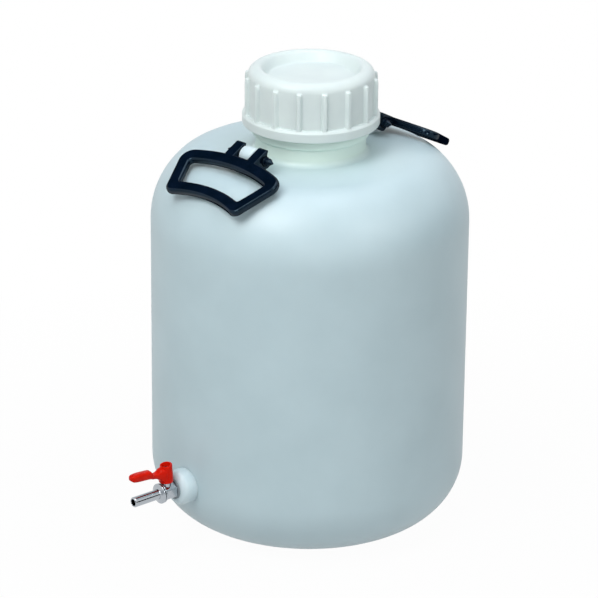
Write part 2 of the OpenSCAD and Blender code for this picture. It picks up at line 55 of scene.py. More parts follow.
# A polyline of (x, y, radius) with each corner replaced by the arc that touches both of its sides. The arc's
# centre lies on the half angle, at radius over its sine, and the arc's ends at radius over its tangent.
def filletPath(corners, step):
    pts = np.array([c[:2] for c in corners], float)
    radii = np.array([c[2] if len(c) > 2 else 0.0 for c in corners], float)
    out = [pts[:1]]
    for a, b, c, r in zip(pts[:-2], pts[1:-1], pts[2:], radii[1:-1]):
        u, v = (a - b) / np.linalg.norm(a - b), (c - b) / np.linalg.norm(c - b)
        half = np.arccos(np.clip(u @ v, -1, 1)) / 2
        straight = half > np.pi / 2 - 1e-4
        if r <= 0 or straight:
            out.append(b[None])
            continue
        centre = b + (u + v) / np.linalg.norm(u + v) * r / np.sin(half)
        p0, p1 = b + u * r / np.tan(half) - centre, b + v * r / np.tan(half) - centre
        start, turn = np.arctan2(p0[1], p0[0]), np.arctan2(np.cross(p0, p1), p0 @ p1)
        count = max(3, int(np.ceil(abs(np.degrees(turn)) / step)) + 1)
        t = start + turn * np.linspace(0, 1, count)
        out.append(centre + r * np.stack([np.cos(t), np.sin(t)], 1))
    out.append(pts[-1:])
    return np.vstack(out)


# Points added on the straight runs, so that no step is longer than given: each run is cut in equal parts.
def evened(path, longest):
    seg = np.linalg.norm(np.diff(path, axis=0), axis=1)
    count = np.maximum(1, np.ceil(seg / longest).astype(int))
    start = np.repeat(np.arange(len(seg)), count)
    part = (np.arange(count.sum()) - np.repeat(np.cumsum(count) - count, count)) / np.repeat(count, count)
    pts = path[start] + (path[start + 1] - path[start]) * part[:, None]
    return np.vstack([pts, path[-1:]])


meshing = dict(mergeGap=2e-6, sliver=1e-7, sharpAngle=40)  # metres, metres, degrees


# A piece from points in metres and faces: doubles merged, normals turned outwards, riding on a body.
def meshPiece(name, verts, faces, material, body="bottle"):
    mesh = bpy.data.meshes.new(name)
    mesh.from_pydata(verts.tolist(), [], faces)
    bm = bmesh.new()
    bm.from_mesh(mesh)
    bmesh.ops.remove_doubles(bm, verts=bm.verts, dist=meshing["mergeGap"])
    bmesh.ops.dissolve_degenerate(bm, edges=bm.edges, dist=meshing["sliver"])
    bmesh.ops.recalc_face_normals(bm, faces=bm.faces)
    bm.to_mesh(mesh)
    bm.free()
    mesh.polygons.foreach_set("use_smooth", np.ones(len(mesh.polygons), bool))
    mesh.set_sharp_from_angle(angle=np.radians(meshing["sharpAngle"]))
    mesh.materials.append(material)
    piece = bpy.data.objects.new(name, mesh)
    bpy.context.collection.objects.link(piece)
    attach(piece, body)
    return piece


# Quads between neighbouring points of a grid[u, v, xyz]; the sides named in wrap join up.
def gridSurface(name, grid, material, body="bottle", wrap="u"):
    nu, nv = grid.shape[:2]
    u = np.arange(nu if "u" in wrap else nu - 1)
    v = np.arange(nv if "v" in wrap else nv - 1)
    u, v = np.meshgrid(u, v, indexing="ij")
    u1, v1 = (u + 1) % nu, (v + 1) % nv
    quads = np.stack([u * nv + v, u1 * nv + v, u1 * nv + v1, u * nv + v1], -1).reshape(-1, 4)
    return meshPiece(name, grid.reshape(-1, 3), quads.tolist(), material, body)


# Hides the solids that a piece stands for.
def stands(piece, slot, *nodes):
    if nodes:
        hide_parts(*nodes)


# A column of equal steps round a full turn, in radians.
def roundSteps(count):
    return np.linspace(0, 2 * np.pi, count, endpoint=False)[:, None]


# A profile of (radius, height) in mm carried round Z: x = r cos a, y = r sin a. The grid is [angle, along].
def revolved(profile, around):
    a = roundSteps(around)
    r, z = profile[:, 0][None], profile[:, 1][None]
    return np.stack([r * np.cos(a), r * np.sin(a), z + 0 * a], -1) * mm


# Both ends of a loft drawn in to their middle points.
def closedEnds(grid):
    ends = [np.repeat(grid[i].mean(0)[None, None], grid.shape[1], 1) for i in (0, -1)]
    return np.concatenate([ends[0], grid, ends[1]])


# 0 to 1 with level ends: three t squared less two t cubed.
def eased(t):
    return t * t * (3 - 2 * t)


# A cosine or a sine raised to a power, its sign kept: below 1, the circle that they draw grows squarer.
def signedPower(c, power):
    return np.sign(c) * np.abs(c) ** power


print("tools ready")


# Hex text to linear light: each pair over 255, then the display curve undone.
def linearColour(hexText):
    c = np.array([int(hexText[i:i + 2], 16) for i in (0, 2, 4)]) / 255
    return tuple(np.where(c <= 0.04045, c / 12.92, ((c + 0.055) / 1.055) ** 2.4)) + (1.0,)


# One node: settings fill its inputs, by name or number, or its own properties; links are outputs to wire in.
def addNode(tree, kind, settings=None, links=None):
    node = tree.nodes.new(kind)
    for key, value in (settings or {}).items():
        if isinstance(key, int) or key in node.inputs:
            node.inputs[key].default_value = value
        else:
            setattr(node, key, value)
    for key, output in (links or {}).items():
        tree.links.new(output, node.inputs[key])
    return node


# An empty node material.
def newMaterial(name):
    mat = bpy.data.materials.new(name)
    mat.use_nodes = True
    mat.node_tree.nodes.clear()
    return mat, mat.node_tree


# A slow drift between two close tones, in patches of the given size in mm: noise on object coordinates.
def plasticTones(tree, tones, patch):
    coord = addNode(tree, "ShaderNodeTexCoord").outputs["Object"]
    noise = addNode(tree, "ShaderNodeTexNoise", {"Scale": 1 / (patch * mm), "Detail": 3.0}, {"Vector": coord})
    ramp = addNode(tree, "ShaderNodeValToRGB", None, {"Fac": noise.outputs["Fac"]})
    for stop, place, tone in zip(ramp.color_ramp.elements, (0.35, 0.65), tones):
        stop.position = place
        stop.color = linearColour(tone)
    return coord, ramp.outputs["Color"]


# Surface grain: noise of the given size in mm, read as a height in mm.
def fineBump(tree, coord, size, height):
    noise = addNode(tree, "ShaderNodeTexNoise", {"Scale": 1 / (size * mm), "Detail": 4.0, "Roughness": 0.6},
                    {"Vector": coord})
    bump = addNode(tree, "ShaderNodeBump", {"Strength": 1.0, "Distance": height * mm},
                   {"Height": noise.outputs["Fac"]})
    return bump.outputs["Normal"]


# The skin of a material: fixed numbers and links, both by the names of the sockets.
def shaded(mat, tree, settings, links):
    skin = addNode(tree, "ShaderNodeBsdfPrincipled", settings, links)
    addNode(tree, "ShaderNodeOutputMaterial", None, {"Surface": skin.outputs["BSDF"]})
    return mat


# A plastic or a rubber: two close tones in patches, a grain of (size, height), and its own settings.
def mottled(name, tones, patch, grain, settings):
    mat, tree = newMaterial(name)
    coord, colour = plasticTones(tree, tones, patch)
    return shaded(mat, tree, settings, {"Base Color": colour, "Normal": fineBump(tree, coord, *grain)})


# A bare metal: one colour, one roughness and a fine grain of (size, height).
def bareMetal(name, colour, roughness, grain):
    mat, tree = newMaterial(name)
    coord = addNode(tree, "ShaderNodeTexCoord").outputs["Object"]
    return shaded(mat, tree, {"Base Color": linearColour(colour), "Metallic": 1.0, "Roughness": roughness},
                  {"Normal": fineBump(tree, coord, *grain)})


milkySpread = (1.0, 1.0, 0.95)  # how far red, green and blue light wander in the natural plastics


# Natural HDPE, blow moulded: milky, bluish grey, satin from a blasted mould. The thick neck is greener, and
# painted lighter against the cap's shadow.
def blownPolyethylene():
    wall = dict(tones=("B7CDD3", "BCD2D8"), patch=70, grain=(1.6, 0.02))
    # the neck's tone is greener and also lighter: painted light that lifts the shade the cap casts on the neck
    neck = dict(tone="DCEFE4", low=0.3505, high=0.358)  # its tone comes in between these heights in metres
    mat, tree = newMaterial("blownPolyethylene")
    coord, wallTone = plasticTones(tree, wall["tones"], wall["patch"])
    apart = addNode(tree, "ShaderNodeSeparateXYZ", None, {"Vector": coord})
    neckGreenAndPaintedLightShare = addNode(tree, "ShaderNodeMapRange", {"From Min": neck["low"], "From Max": neck["high"]},
                        {"Value": apart.outputs["Z"]})
    tone = addNode(tree, "ShaderNodeMix", {"data_type": "RGBA", 7: linearColour(neck["tone"])},
                   {0: neckGreenAndPaintedLightShare.outputs["Result"], 6: wallTone})  # 0 is the share, 6 and 7 the two colours
    settings = {"Roughness": 0.44, "IOR": 1.54, "Specular IOR Level": 0.6, "Subsurface Weight": 0.35,
                "Subsurface Scale": 0.012, "Subsurface Radius": milkySpread}
    grain = fineBump(tree, coord, *wall["grain"])
    return shaded(mat, tree, settings, {"Base Color": tone.outputs[2], "Normal": grain})


# Natural HDPE where it is thick, at boss and lugs: whiter than the wall, since the light scatters in it.
def thickPolyethylene():
    return mottled("thickPolyethylene", ("C6D8DE", "CCDDE2"), 20, (1.2, 0.01), {
        "Roughness": 0.42, "IOR": 1.54, "Subsurface Weight": 0.5, "Subsurface Scale": 0.01,
        "Subsurface Radius": milkySpread})


# Natural PP, injection moulded: whiter than the bottle, a faint green in its depth, smoother skin.
def naturalPolypropylene():
    return mottled("naturalPolypropylene", ("CFDAD9", "D4DFDD"), 30, (0.9, 0.006), {
        "Roughness": 0.36, "IOR": 1.49, "Specular IOR Level": 0.35, "Subsurface Weight": 0.4,
        "Subsurface Scale": 0.004, "Subsurface Radius": milkySpread})


# Blue-black PP, moulded in a polished tool: dark, with crisp soft highlights and a faint orange peel. At a
# glancing angle the sheen goes, because the index falls to that of air.
def blackPolypropylene():
    sheen = {"From Min": 0.48, "From Max": 0.68, "To Min": 1.37, "To Max": 1.0}
    mat, tree = newMaterial("blackPolypropylene")
    coord, colour = plasticTones(tree, ("020C18", "061222"), 12)
    slant = addNode(tree, "ShaderNodeLayerWeight", {"Blend": 0.5})
    index = addNode(tree, "ShaderNodeMapRange", sheen, {"Value": slant.outputs["Facing"]})
    grain = fineBump(tree, coord, 1.4, 0.004)
    return shaded(mat, tree, {"Roughness": 0.14, "Specular Tint": (0.5, 0.8, 1.0, 1.0)},
                  {"Base Color": colour, "Normal": grain, "IOR": index.outputs["Result"]})


# Bright nickel on turned brass: mirror-like and a little cold, with faint duller clouds.
def nickelPlate():
    clouds = dict(size=2.5, bright=0.08, dull=0.17)
    mat, tree = newMaterial("nickelPlate")
    coord = addNode(tree, "ShaderNodeTexCoord").outputs["Object"]
    noise = addNode(tree, "ShaderNodeTexNoise", {"Scale": 1 / (clouds["size"] * mm), "Detail": 3.0},
                    {"Vector": coord})
    rough = addNode(tree, "ShaderNodeMapRange", {"From Min": 0.3, "From Max": 0.7, "To Min": clouds["bright"],
                                                 "To Max": clouds["dull"]}, {"Value": noise.outputs["Fac"]})
    return shaded(mat, tree, {"Base Color": linearColour("AEB4BA"), "Metallic": 1.0},
                  {"Normal": fineBump(tree, coord, 0.8, 0.004), "Roughness": rough.outputs["Result"]})


# Red vinyl, dipped over a cast lever: saturated orange-red, soft gloss, slightly lumpy film.
def redVinyl():
    return mottled("redVinyl", ("C41000", "D41802"), 8, (2.2, 0.03), {
        "Roughness": 0.3, "IOR": 1.5, "Specular IOR Level": 0.16, "Specular Tint": (1.0, 0.75, 0.6, 1.0)})


# Black nitrile rubber, moulded: dull and slightly dusty.
def sealRubber():
    return mottled("sealRubber", ("151515", "1F1F20"), 3, (0.3, 0.01), {"Roughness": 0.7, "IOR": 1.52})


# Grey silicone rubber: smooth, dull, a little cold.
def greySilicone():
    return mottled("greySilicone", ("7E888D", "899398"), 3, (0.3, 0.006), {"Roughness": 0.6, "IOR": 1.43})


# Closed-cell polyethylene foam: off-white, very matt, with fine cells.
def foamGasket():
    return mottled("foamGasket", ("D2D2CC", "DEDED9"), 4, (0.5, 0.05), {"Roughness": 0.85, "IOR": 1.5})


# Turned PTFE: waxy white, low sheen.
def turnedFluoropolymer():
    return mottled("turnedFluoropolymer", ("E6E6E0", "EEEEEA"), 5, (0.4, 0.006), {
        "Roughness": 0.5, "IOR": 1.35})


# Turned stainless steel: neutral grey, satin, finely grained.
def turnedSteel():
    return bareMetal("turnedSteel", "B9B9BB", 0.28, (0.3, 0.006))


# Bare turned brass: warm yellow, satin, finely grained.
def turnedBrass():
    return bareMetal("turnedBrass", "D2B26A", 0.25, (0.3, 0.006))


hdpe, pp, black = blownPolyethylene(), naturalPolypropylene(), blackPolypropylene()
thickHdpe = thickPolyethylene()
nickel, red, rubber = nickelPlate(), redVinyl(), sealRubber()
silicone = greySilicone()
foam, ptfe, steel, brass = foamGasket(), turnedFluoropolymer(), turnedSteel(), turnedBrass()
print("materials ready")


bottle = dict(
    bodyR=145.0, wall=3.0, baseR=57.5, pushUp=4.0, pushR=81.5,  # the body and its base
    sideTop=287.4, lowR=72.1, highR=42.0, turn=45.0, fall=1.5,  # the shoulder: two arcs, then a slope
    neckR=50.0, neckFillet=6.0, neckPlain=17.5,  # the plain part of the neck
    collarR=53.2, collarH=7.0, collarRise=2.0, collarLow=1.2, collarHigh=1.4,
    finishH=50.0, threadR=51.5, finishFoot=0.5, mouthR=45.5, rimRound=1.0, mouthFillet=4.0,
    arcStep=4.0, longest=12.0, around=192,  # how finely the surface is cut
)
thread = dict(
    pitch=6.0, turns=1.5, height=2.6, rootW=3.0, crestW=1.2, below=26.0, lead=28.0, perTurn=72,
    across=[-0.5, -0.5, -0.38, -0.2, 0.2, 0.38, 0.5, 0.5],  # the section's points as shares of rootW
    rise=[-0.3, 0.0, 0.55, 1.0, 1.0, 0.55, 0.0, -0.3],  # and of height, its foot sunk in the wall
)


# Height of the shoulder's slope at radius r: the upper arc's end, then the run times the slope's tangent.
def shoulderZ(b, r, inset=0.0):
    s, t = np.radians(b["fall"]), np.radians(b["turn"])
    arcR = b["bodyR"] - b["lowR"] + (b["lowR"] - b["highR"]) * np.cos(t)
    arcZ = b["sideTop"] + (b["lowR"] - b["highR"]) * np.sin(t)
    h = b["highR"] - inset
    return arcZ + h * np.cos(s) + (arcR + h * np.sin(s) - r) * np.tan(s)


# Corners of the body's half section from the base up: where the tangents of its arcs cross.
def bodyCorners(b, inset):
    t, s = np.radians(b["turn"]), np.radians(b["fall"])
    low, high = b["lowR"] - inset, b["highR"] - inset
    r = b["bodyR"] - inset
    joinR, joinZ = b["bodyR"] - b["lowR"] + low * np.cos(t), b["sideTop"] + low * np.sin(t)
    reach = high * np.tan((np.pi / 2 - t - s) / 2)
    return [(r, inset, b["baseR"] - inset), (r, joinZ - (r - joinR) / np.tan(t), low),
            (joinR - reach * np.sin(t), joinZ + reach * np.cos(t), high)]


# The push-up under the base: a shallow paraboloid from its rim to the axis.
def domePoints(b, lift, points=24):
    r = np.linspace(b["pushR"], 0, points)
    return [(x, b["pushUp"] * (1 - (x / b["pushR"]) ** 2) + lift) for x in r]


# Heights of the collar, of the thread's foot and of the rim, stacked on the shoulder.
def neckHeights(b):
    collarZ = shoulderZ(b, b["neckR"]) + b["neckPlain"]
    finishZ = collarZ + b["collarH"]
    return collarZ, finishZ, finishZ + b["finishH"]


# The outside from the middle of the base up to the mouth, then the inside down again, one wall further in.
def bottleOutline(b):
    collarZ, finishZ, rimZ = neckHeights(b)
    outer = domePoints(b, 0)[::-1] + bodyCorners(b, 0) + [
        (b["neckR"], shoulderZ(b, b["neckR"]), b["neckFillet"]),
        (b["neckR"], collarZ - b["collarRise"], b["collarRise"]), (b["collarR"], collarZ, b["collarLow"]),
        (b["collarR"], finishZ, b["collarHigh"]), (b["threadR"], finishZ, b["finishFoot"]),
        (b["threadR"], rimZ, b["rimRound"]), (b["mouthR"], rimZ, b["rimRound"])]
    inner = [(b["mouthR"], shoulderZ(b, b["mouthR"], b["wall"]), b["mouthFillet"])]
    inner += bodyCorners(b, b["wall"])[::-1] + domePoints(b, b["wall"])
    return evened(filletPath(outer + inner, b["arcStep"]), b["longest"])


# A trapezium carried up a helix: radius and height from its section, fading in and out over lead degrees.
def threadRidge(th, rootR, height, zStart):
    a = np.linspace(0, 360 * th["turns"], int(th["perTurn"] * th["turns"]) + 1)
    fade = eased(np.clip(np.minimum(a, a[-1] - a) / th["lead"], 0, 1))
    across, rise = np.array(th["across"]) * th["rootW"], np.array(th["rise"])
    r = rootR + height * np.where(rise > 0, rise[None] * fade[:, None], rise[None])
    z = zStart + th["pitch"] * a[:, None] / 360 + across[None]
    t = np.radians(a)[:, None]
    return closedEnds(np.stack([r * np.cos(t), r * np.sin(t), z], -1)) * mm


rimZ = neckHeights(bottle)[2]
bottleGrid = revolved(bottleOutline(bottle), bottle["around"])
stands(gridSurface("bottleShell", bottleGrid, hdpe), "bottle_plastic", "bottle_body")
neckThread = threadRidge(thread, bottle["threadR"], thread["height"], rimZ - thread["below"])
stands(gridSurface("neckThread", neckThread, hdpe, wrap="v"), "bottle_plastic")
print("bottle done, rim at", round(rimZ, 2))


cap = dict(
    top=4.9, height=52.6, skirtR=57.3, rimR=9.15,
    lipR=5.0, lipCorner=45.2, dish=9.7, dishR=40.0, dishFoot=2.5,  # the dished top
    bandR=62.2, bandH=10.3, bandRoot=0.8, bevel=2.0, bevelRound=1.2, lowRound=1.0,  # the band below the ribs
    boreR=54.8, boreRound=0.8, boreCorner=5.0, boreTop=3.0, plugR=45.0, plugLow=2.5, plugRound=1.0,  # inside
    ribs=16, ribW=2.8, ribFlank=1.7, ribH=3.4, ribPhase=0.5,
    ribCrest=0.8, ribFlat=0.5,  # where the flanks end and where the flat does, as shares of half the rib
    ribFoot=0.4, ribOver=1.2, ribFade=1.6,  # the ribs' lower end over the band, and how they start at the rim
    arcStep=5.0, longest=4.0, threadPlay=0.2,
)
capTop = rimZ + cap["top"]
capLow = capTop - cap["height"]


# From the middle of the dish over the rim and down the skirt, round the band, up the bore and under the dish.
def capOutline(k):
    dishZ, boreZ, bandZ = capTop - k["dish"], capTop - k["boreTop"], capLow + k["bandH"]
    path = filletPath([
        (0, dishZ), (k["dishR"], dishZ, k["dishFoot"]), (k["lipCorner"], capTop, k["lipR"]),
        (k["skirtR"], capTop, k["rimR"]), (k["skirtR"], bandZ, k["bandRoot"]),
        (k["bandR"] - k["bevel"], bandZ, k["bevelRound"]), (k["bandR"], bandZ - k["bevel"], k["bevelRound"]),
        (k["bandR"], capLow, k["lowRound"]), (k["boreR"], capLow, k["boreRound"]),
        (k["boreR"], boreZ, k["boreCorner"]), (k["plugR"], boreZ, k["plugRound"]),
        (k["plugR"], dishZ - k["plugLow"], k["plugRound"]), (0, dishZ - k["plugLow"])], k["arcStep"])
    return evened(path, k["longest"])


# The outline carried round, and its outer side pushed out at each rib: a flat crest with eased flanks.
def ribbedCap(k, profile, steps=5):
    half = k["ribW"] / 2
    near, crest, flat = half + k["ribFlank"], half * k["ribCrest"], half * k["ribFlat"]
    pitchArc = np.pi * k["skirtR"] / k["ribs"]
    arcs = np.concatenate([
        -np.linspace(pitchArc, near, steps)[:-1], -np.linspace(near, crest, steps), [-flat, flat],
        np.linspace(crest, near, steps), np.linspace(near, pitchArc, steps)[1:-1]])
    middles = (np.arange(k["ribs"]) + k["ribPhase"])[:, None] * 2 * np.pi / k["ribs"]
    a = (middles + arcs[None] / k["skirtR"]).ravel()[:, None]
    across = eased(np.clip((near - np.abs(np.tile(arcs, k["ribs"]))) / (near - crest), 0, 1))
    r, z = profile[:, 0], profile[:, 1]
    beforeBand = np.arange(len(r)) < np.argmax(z < capLow + k["bandH"] - k["ribFoot"])
    outside = beforeBand & (r > k["skirtR"] - k["rimR"])
    along = np.where(outside, np.clip((capTop - k["rimR"] + k["ribOver"] - z) / k["ribFade"], 0, 1), 0)
    rr = r[None] + (k["skirtR"] + k["ribH"] - r[None]) * across[:, None] * eased(along)[None]
    return np.stack([rr * np.cos(a), rr * np.sin(a), z[None] + 0 * a], -1) * mm


stands(gridSurface("capShell", ribbedCap(cap, capOutline(cap)), pp, body="cap"), "cap_plastic", "screw_cap")
threadDrop = (thread["rootW"] + thread["crestW"]) / 2 + cap["threadPlay"]  # the cap's ridge runs lower
capThread = threadRidge(thread, cap["boreR"], -thread["height"], rimZ - thread["below"] - threadDrop)
stands(gridSurface("capThread", capThread, pp, body="cap", wrap="v"), "cap_plastic")
print("cap done")


grip = dict(
    hingeR=76.2, rise=12.8, rest=28.24,  # the pin's place over the shoulder, and the handle's tilt at rest
    offset=4.5, start=9.2, fanR=167.5, half=22.2,  # the fan's place off the pin, its radius, its half angle
    thick=7.0, nearW=13.3, farW=12.0, endW=11.8, window=27.6,
    nearCorner=12.5, farCorner=7.5, windowCorner=2.6, edge=2.7, soft=0.9, around=40,
    armIn=8.5, armOut=19.0, armRound=0.7, rimSteps=5, pinR=4.2, pinGap=0.08,
)
hook = dict(
    mouthAt=190.0, mouthHalf=42.0, eyeR=8.0, backFrom=232.0, backTo=300.0,  # the eye and its mouth, in degrees
    inset=0.1, underIn=1.0, underR=3.5, shank=6.0,  # the shank, a hair thinner than the loop that it runs into
    neckAt=0.5, neckR=6.0, browAt=-5.5, browR=1.5, tipAt=-7.6, tipDrop=1.2, tipR=0.8,  # the pointed lip
)
pin = dict(
    headGap=0.3, tip=9.0, tipR=0.6, tipEdge=0.3, cone=4.6, coneR=2.9, coneEdge=0.4,  # the point, past the arm
    headR=3.5, headEdge=0.3, heel=0.6, heelEdge=0.2, around=40,
)
lug = dict(
    r=8.4, width=15.0, arcFrom=-30.0, arcTo=176.0, noseZ=-5.0, flat=7.2, back=13.4, foot=14.9,
    edge=2.2, rimSteps=7,
)


# A rounded annular sector about the fan's centre, opening to -Y: two arcs, two sides and four corners. The
# centre of a corner lies its own radius inside the arc and the side; its angle from the side's line has its
# distance from that line over its distance from the fan's centre as its sine.
def fanOutline(g, outR, inR, sideIn, outCorner, inCorner, cornerPoints=14, arcPoints=60, sidePoints=24):
    h = np.radians(g["half"])

    def corner(r, c, out):
        rho = r - out * c
        inwards = np.arcsin((sideIn + c) / rho)
        lean = h - np.pi / 2 - inwards
        t = np.linspace(lean, h, cornerPoints) if out > 0 else np.linspace(h, lean + np.pi, cornerPoints)
        centre = np.array([np.cos(lean), np.sin(lean)]) * rho
        return centre + c * np.stack([np.cos(t), np.sin(t)], 1), inwards

    def arc(r, inwards, way):
        t = np.linspace(-1, 1, arcPoints)[1:-1] * way * (h - inwards) - np.pi / 2
        return r * np.stack([np.cos(t), np.sin(t)], 1)

    def side(p, q):
        return p + (q - p) * np.linspace(0, 1, sidePoints)[1:-1, None]

    near, nearIn = corner(outR, outCorner, 1)
    far, farIn = corner(inR, inCorner, -1)
    flip = np.array([-1.0, 1.0])
    return np.vstack([arc(outR, nearIn, 1), near, side(near[-1], far[0]), far, arc(inR, farIn, -1),
                      far[::-1] * flip, side(far[0] * flip, near[-1] * flip), near[::-1] * flip])


# The loop between its outline and its window: a bar section with soft edges spans each pair of their points.
def loopSurface(g):
    nearIn = g["fanR"] - g["nearW"]
    farOut = nearIn - g["window"]
    o = fanOutline(g, g["fanR"], farOut - g["farW"], 0, g["nearCorner"], g["farCorner"])
    w = fanOutline(g, nearIn, farOut, g["endW"], g["windowCorner"], g["windowCorner"])
    width = np.linalg.norm(o - w, axis=1)[:, None]
    t = roundSteps(g["around"])[:, 0]
    edge, halfThick = g["edge"], g["thick"] / 2
    sideX, sideZ = (np.where(np.abs(c) < 1e-9, 0, np.sign(c)) for c in (np.cos(t), np.sin(t)))
    x = sideX[None] * (width / 2 - edge) + edge * signedPower(np.cos(t), g["soft"])[None]
    z = sideZ * (halfThick - edge) + edge * signedPower(np.sin(t), g["soft"])
    u = (o - w) / width
    xy = ((o + w) / 2)[:, None] + u[:, None] * x[..., None]
    return np.concatenate([xy, np.broadcast_to(z[None, :, None], xy.shape[:2] + (1,))], -1)


# Handle coordinates (across, along, over) in mm to the bottle's, tipped down by tilt degrees about the pin.
def fromHinge(g, pts, side, tilt=0.0):
    a = np.radians(-tilt)
    x, y, z = pts[..., 0], pts[..., 1], pts[..., 2]
    y, z = y * np.cos(a) - z * np.sin(a) + g["hingeR"], y * np.sin(a) + z * np.cos(a)
    z = z + shoulderZ(bottle, g["hingeR"]) + g["rise"]
    s = -1 if side == "front" else 1
    return np.stack([s * x, s * y, z], -1) * mm


# Quads between rings of n points, and one many-sided face at each end.
def plateFaces(n, rings):
    i, j = np.meshgrid(np.arange(rings - 1), np.arange(n), indexing="ij")
    k = (j + 1) % n
    quads = np.stack([i * n + j, i * n + k, (i + 1) * n + k, (i + 1) * n + j], -1).reshape(-1, 4).tolist()
    return quads + [list(range(n)), list(range((rings - 1) * n, rings * n))]


# A closed outline moved inwards by d: each point goes along the normal of its neighbours' line.
def insetLoop(loop, d):
    along = np.roll(loop, -1, 0) - np.roll(loop, 1, 0)
    normal = np.stack([-along[:, 1], along[:, 0]], 1)
    normal /= np.linalg.norm(normal, axis=1)[:, None]
    area = np.sum(loop[:, 0] * np.roll(loop[:, 1], -1) - loop[:, 1] * np.roll(loop[:, 0], -1))
    return loop + normal * d * np.sign(area)


# An outline carried across from x0 to x1, its two rims rounded over a quarter circle of radius r.
def roundedPlate(loop, x0, x1, r, steps):
    t = np.linspace(0, np.pi / 2, steps)
    inset = np.concatenate([r * (1 - np.sin(t)), r * (1 - np.cos(t))])
    place = np.concatenate([x0 + r * (1 - np.cos(t)), x1 - r * (1 - np.sin(t))])
    rings = [np.column_stack([np.full(len(loop), x), insetLoop(loop, d)]) for x, d in zip(place, inset)]
    return np.vstack(rings), plateFaces(len(loop), len(rings))


# Side view of a hinge arm as (along, over): a shank, an eye open towards the neck and a pointed upper lip.
def hookOutline(g, k, borePoints=40, backPoints=12, arcStep=10):
    top, low = g["offset"] + g["thick"] / 2 - k["inset"], g["offset"] - g["thick"] / 2 + k["inset"]
    lips = np.radians([k["mouthAt"] - k["mouthHalf"], k["mouthAt"] + k["mouthHalf"]])
    t = np.linspace(lips[1], lips[0] + 2 * np.pi, borePoints) - 2 * np.pi
    bore = (g["pinR"] + g["pinGap"]) * np.stack([np.cos(t), np.sin(t)], 1)
    t = np.radians(np.linspace(k["backFrom"], k["backTo"], backPoints))
    back = k["eyeR"] * np.stack([np.cos(t), np.sin(t)], 1)
    shank = filletPath([
        back[-1], (g["start"] - k["underIn"], low, k["underR"]), (g["start"] + k["shank"], low),
        (g["start"] + k["shank"], top), (k["neckAt"], top, k["neckR"]), (k["browAt"], top, k["browR"]),
        (k["tipAt"], top - k["tipDrop"], k["tipR"]), tuple(bore[-1])], arcStep)
    return np.vstack([back[:-1], shank[:-1], bore[::-1]])


# The pin as (along, radius): a pointed head at each end, the second half mirrored from the first.
def pinOutline(g, k, arcStep=20):
    x = -(g["armOut"] + k["headGap"])
    half = [(x - k["tip"], 0), (x - k["tip"], k["tipR"], k["tipEdge"]),
            (x - k["cone"], k["coneR"], k["coneEdge"]), (x - k["cone"], k["headR"], k["headEdge"]),
            (x - k["heel"], k["headR"], k["heelEdge"]), (x - k["heel"], g["pinR"], k["headEdge"])]
    return filletPath(half + [(-q[0],) + q[1:] for q in half[::-1]], arcStep)


# Side view of a lug: an arc about the pin, and a foot that runs into the shoulder.
def lugOutline(k, arcPoints=36):
    t = np.radians(np.linspace(k["arcFrom"], k["arcTo"], arcPoints))
    return np.vstack([k["r"] * np.stack([np.cos(t), np.sin(t)], 1),
                      [[-k["back"], -k["foot"]], [k["flat"], -k["foot"]], [k["flat"], k["noseZ"]]]])


# A profile of (along, radius) carried round X: y = r cos a, z = r sin a. The grid is [angle, along].
def turnedX(profile, around=72):
    a = roundSteps(around)
    x, r = profile[:, 0][None], profile[:, 1][None]
    return np.stack([x + 0 * a, r * np.cos(a), r * np.sin(a)], -1)


# One handle: the loop and its two arms, tilted as at rest, and the pin and the lug, which stay level.
def handle(side, g):
    body = "handle_" + side
    loop = loopSurface(g) + np.array([0, g["start"] + g["fanR"], g["offset"]])
    loopPiece = gridSurface(side + "Loop", fromHinge(g, loop, side, g["rest"]), black, body, wrap="uv")
    stands(loopPiece, "black_plastic", side + "_handle")
    for name, x0, x1 in (("ArmA", g["armIn"], g["armOut"]), ("ArmB", -g["armOut"], -g["armIn"])):
        pts, faces = roundedPlate(hookOutline(g, hook), x0, x1, g["armRound"], g["rimSteps"])
        arm = meshPiece(side + name, fromHinge(g, pts, side, g["rest"]), faces, black, body)
        stands(arm, "black_plastic")
    pinGrid = turnedX(pinOutline(g, pin), pin["around"])
    pinPiece = gridSurface(side + "Pin", fromHinge(g, pinGrid, side), black)
    stands(pinPiece, "black_plastic", side + "_hinge_pin")
    halfLug = lug["width"] / 2
    pts, faces = roundedPlate(lugOutline(lug), -halfLug, halfLug, lug["edge"], lug["rimSteps"])
    stands(meshPiece(side + "Lug", fromHinge(g, pts, side), faces, thickHdpe), "bottle_plastic")


for side in ("front", "rear"):
    handle(side, grip)
print("handles done")


spigot = dict(
    turn=-5.0, height=60.6, ballX=168.1,  # the ball's centre: degrees from -Y, over the floor, off the axis
    wallX=-23.1, bossR=16.3, bossFace=-9.0, bossEdge=6.5, bossFillet=1.0,  # the boss on the bottle's wall
    bossRoot=3.0, bossFoot=0.6, bossFootR=1.6, bossStep=6, bossAround=96,
    hexAF=15.0, hexIn=-8.0, hexOut=6.2, hexChamfer=0.8,  # the valve's bar, measured across its flats
    hexSharp=1.13, hexFace=0.97, hexCone=1.9,  # corners and end faces over half the flats, and the cone's rise
    flangeR=9.2, flangeW=1.4, neckR=4.6, neckTop=9.4, neckAround=48, edge=0.4,
    collarR=9.4, collarW=3.2, groove=0.6, grooveDeep=1.8, grooveEdge=0.1, ringW=1.3, ringEdge=0.5,
    nippleR=4.75, nippleBore=3.2, nippleL=28.1, nippleRoot=0.8, nippleChamfer=0.8, mouthIn=0.7, mouthEdge=0.2,
    arcStep=15,
)


# Spigot coordinates (out, across, up) in mm from the ball's centre, turned about Z and set at its height.
def onSpigot(p, pts):
    a = np.radians(p["turn"] - 90)
    x, y, z = pts[..., 0] + p["ballX"], pts[..., 1], pts[..., 2] + p["height"]
    return np.stack([x * np.cos(a) - y * np.sin(a), x * np.sin(a) + y * np.cos(a), z], -1) * mm


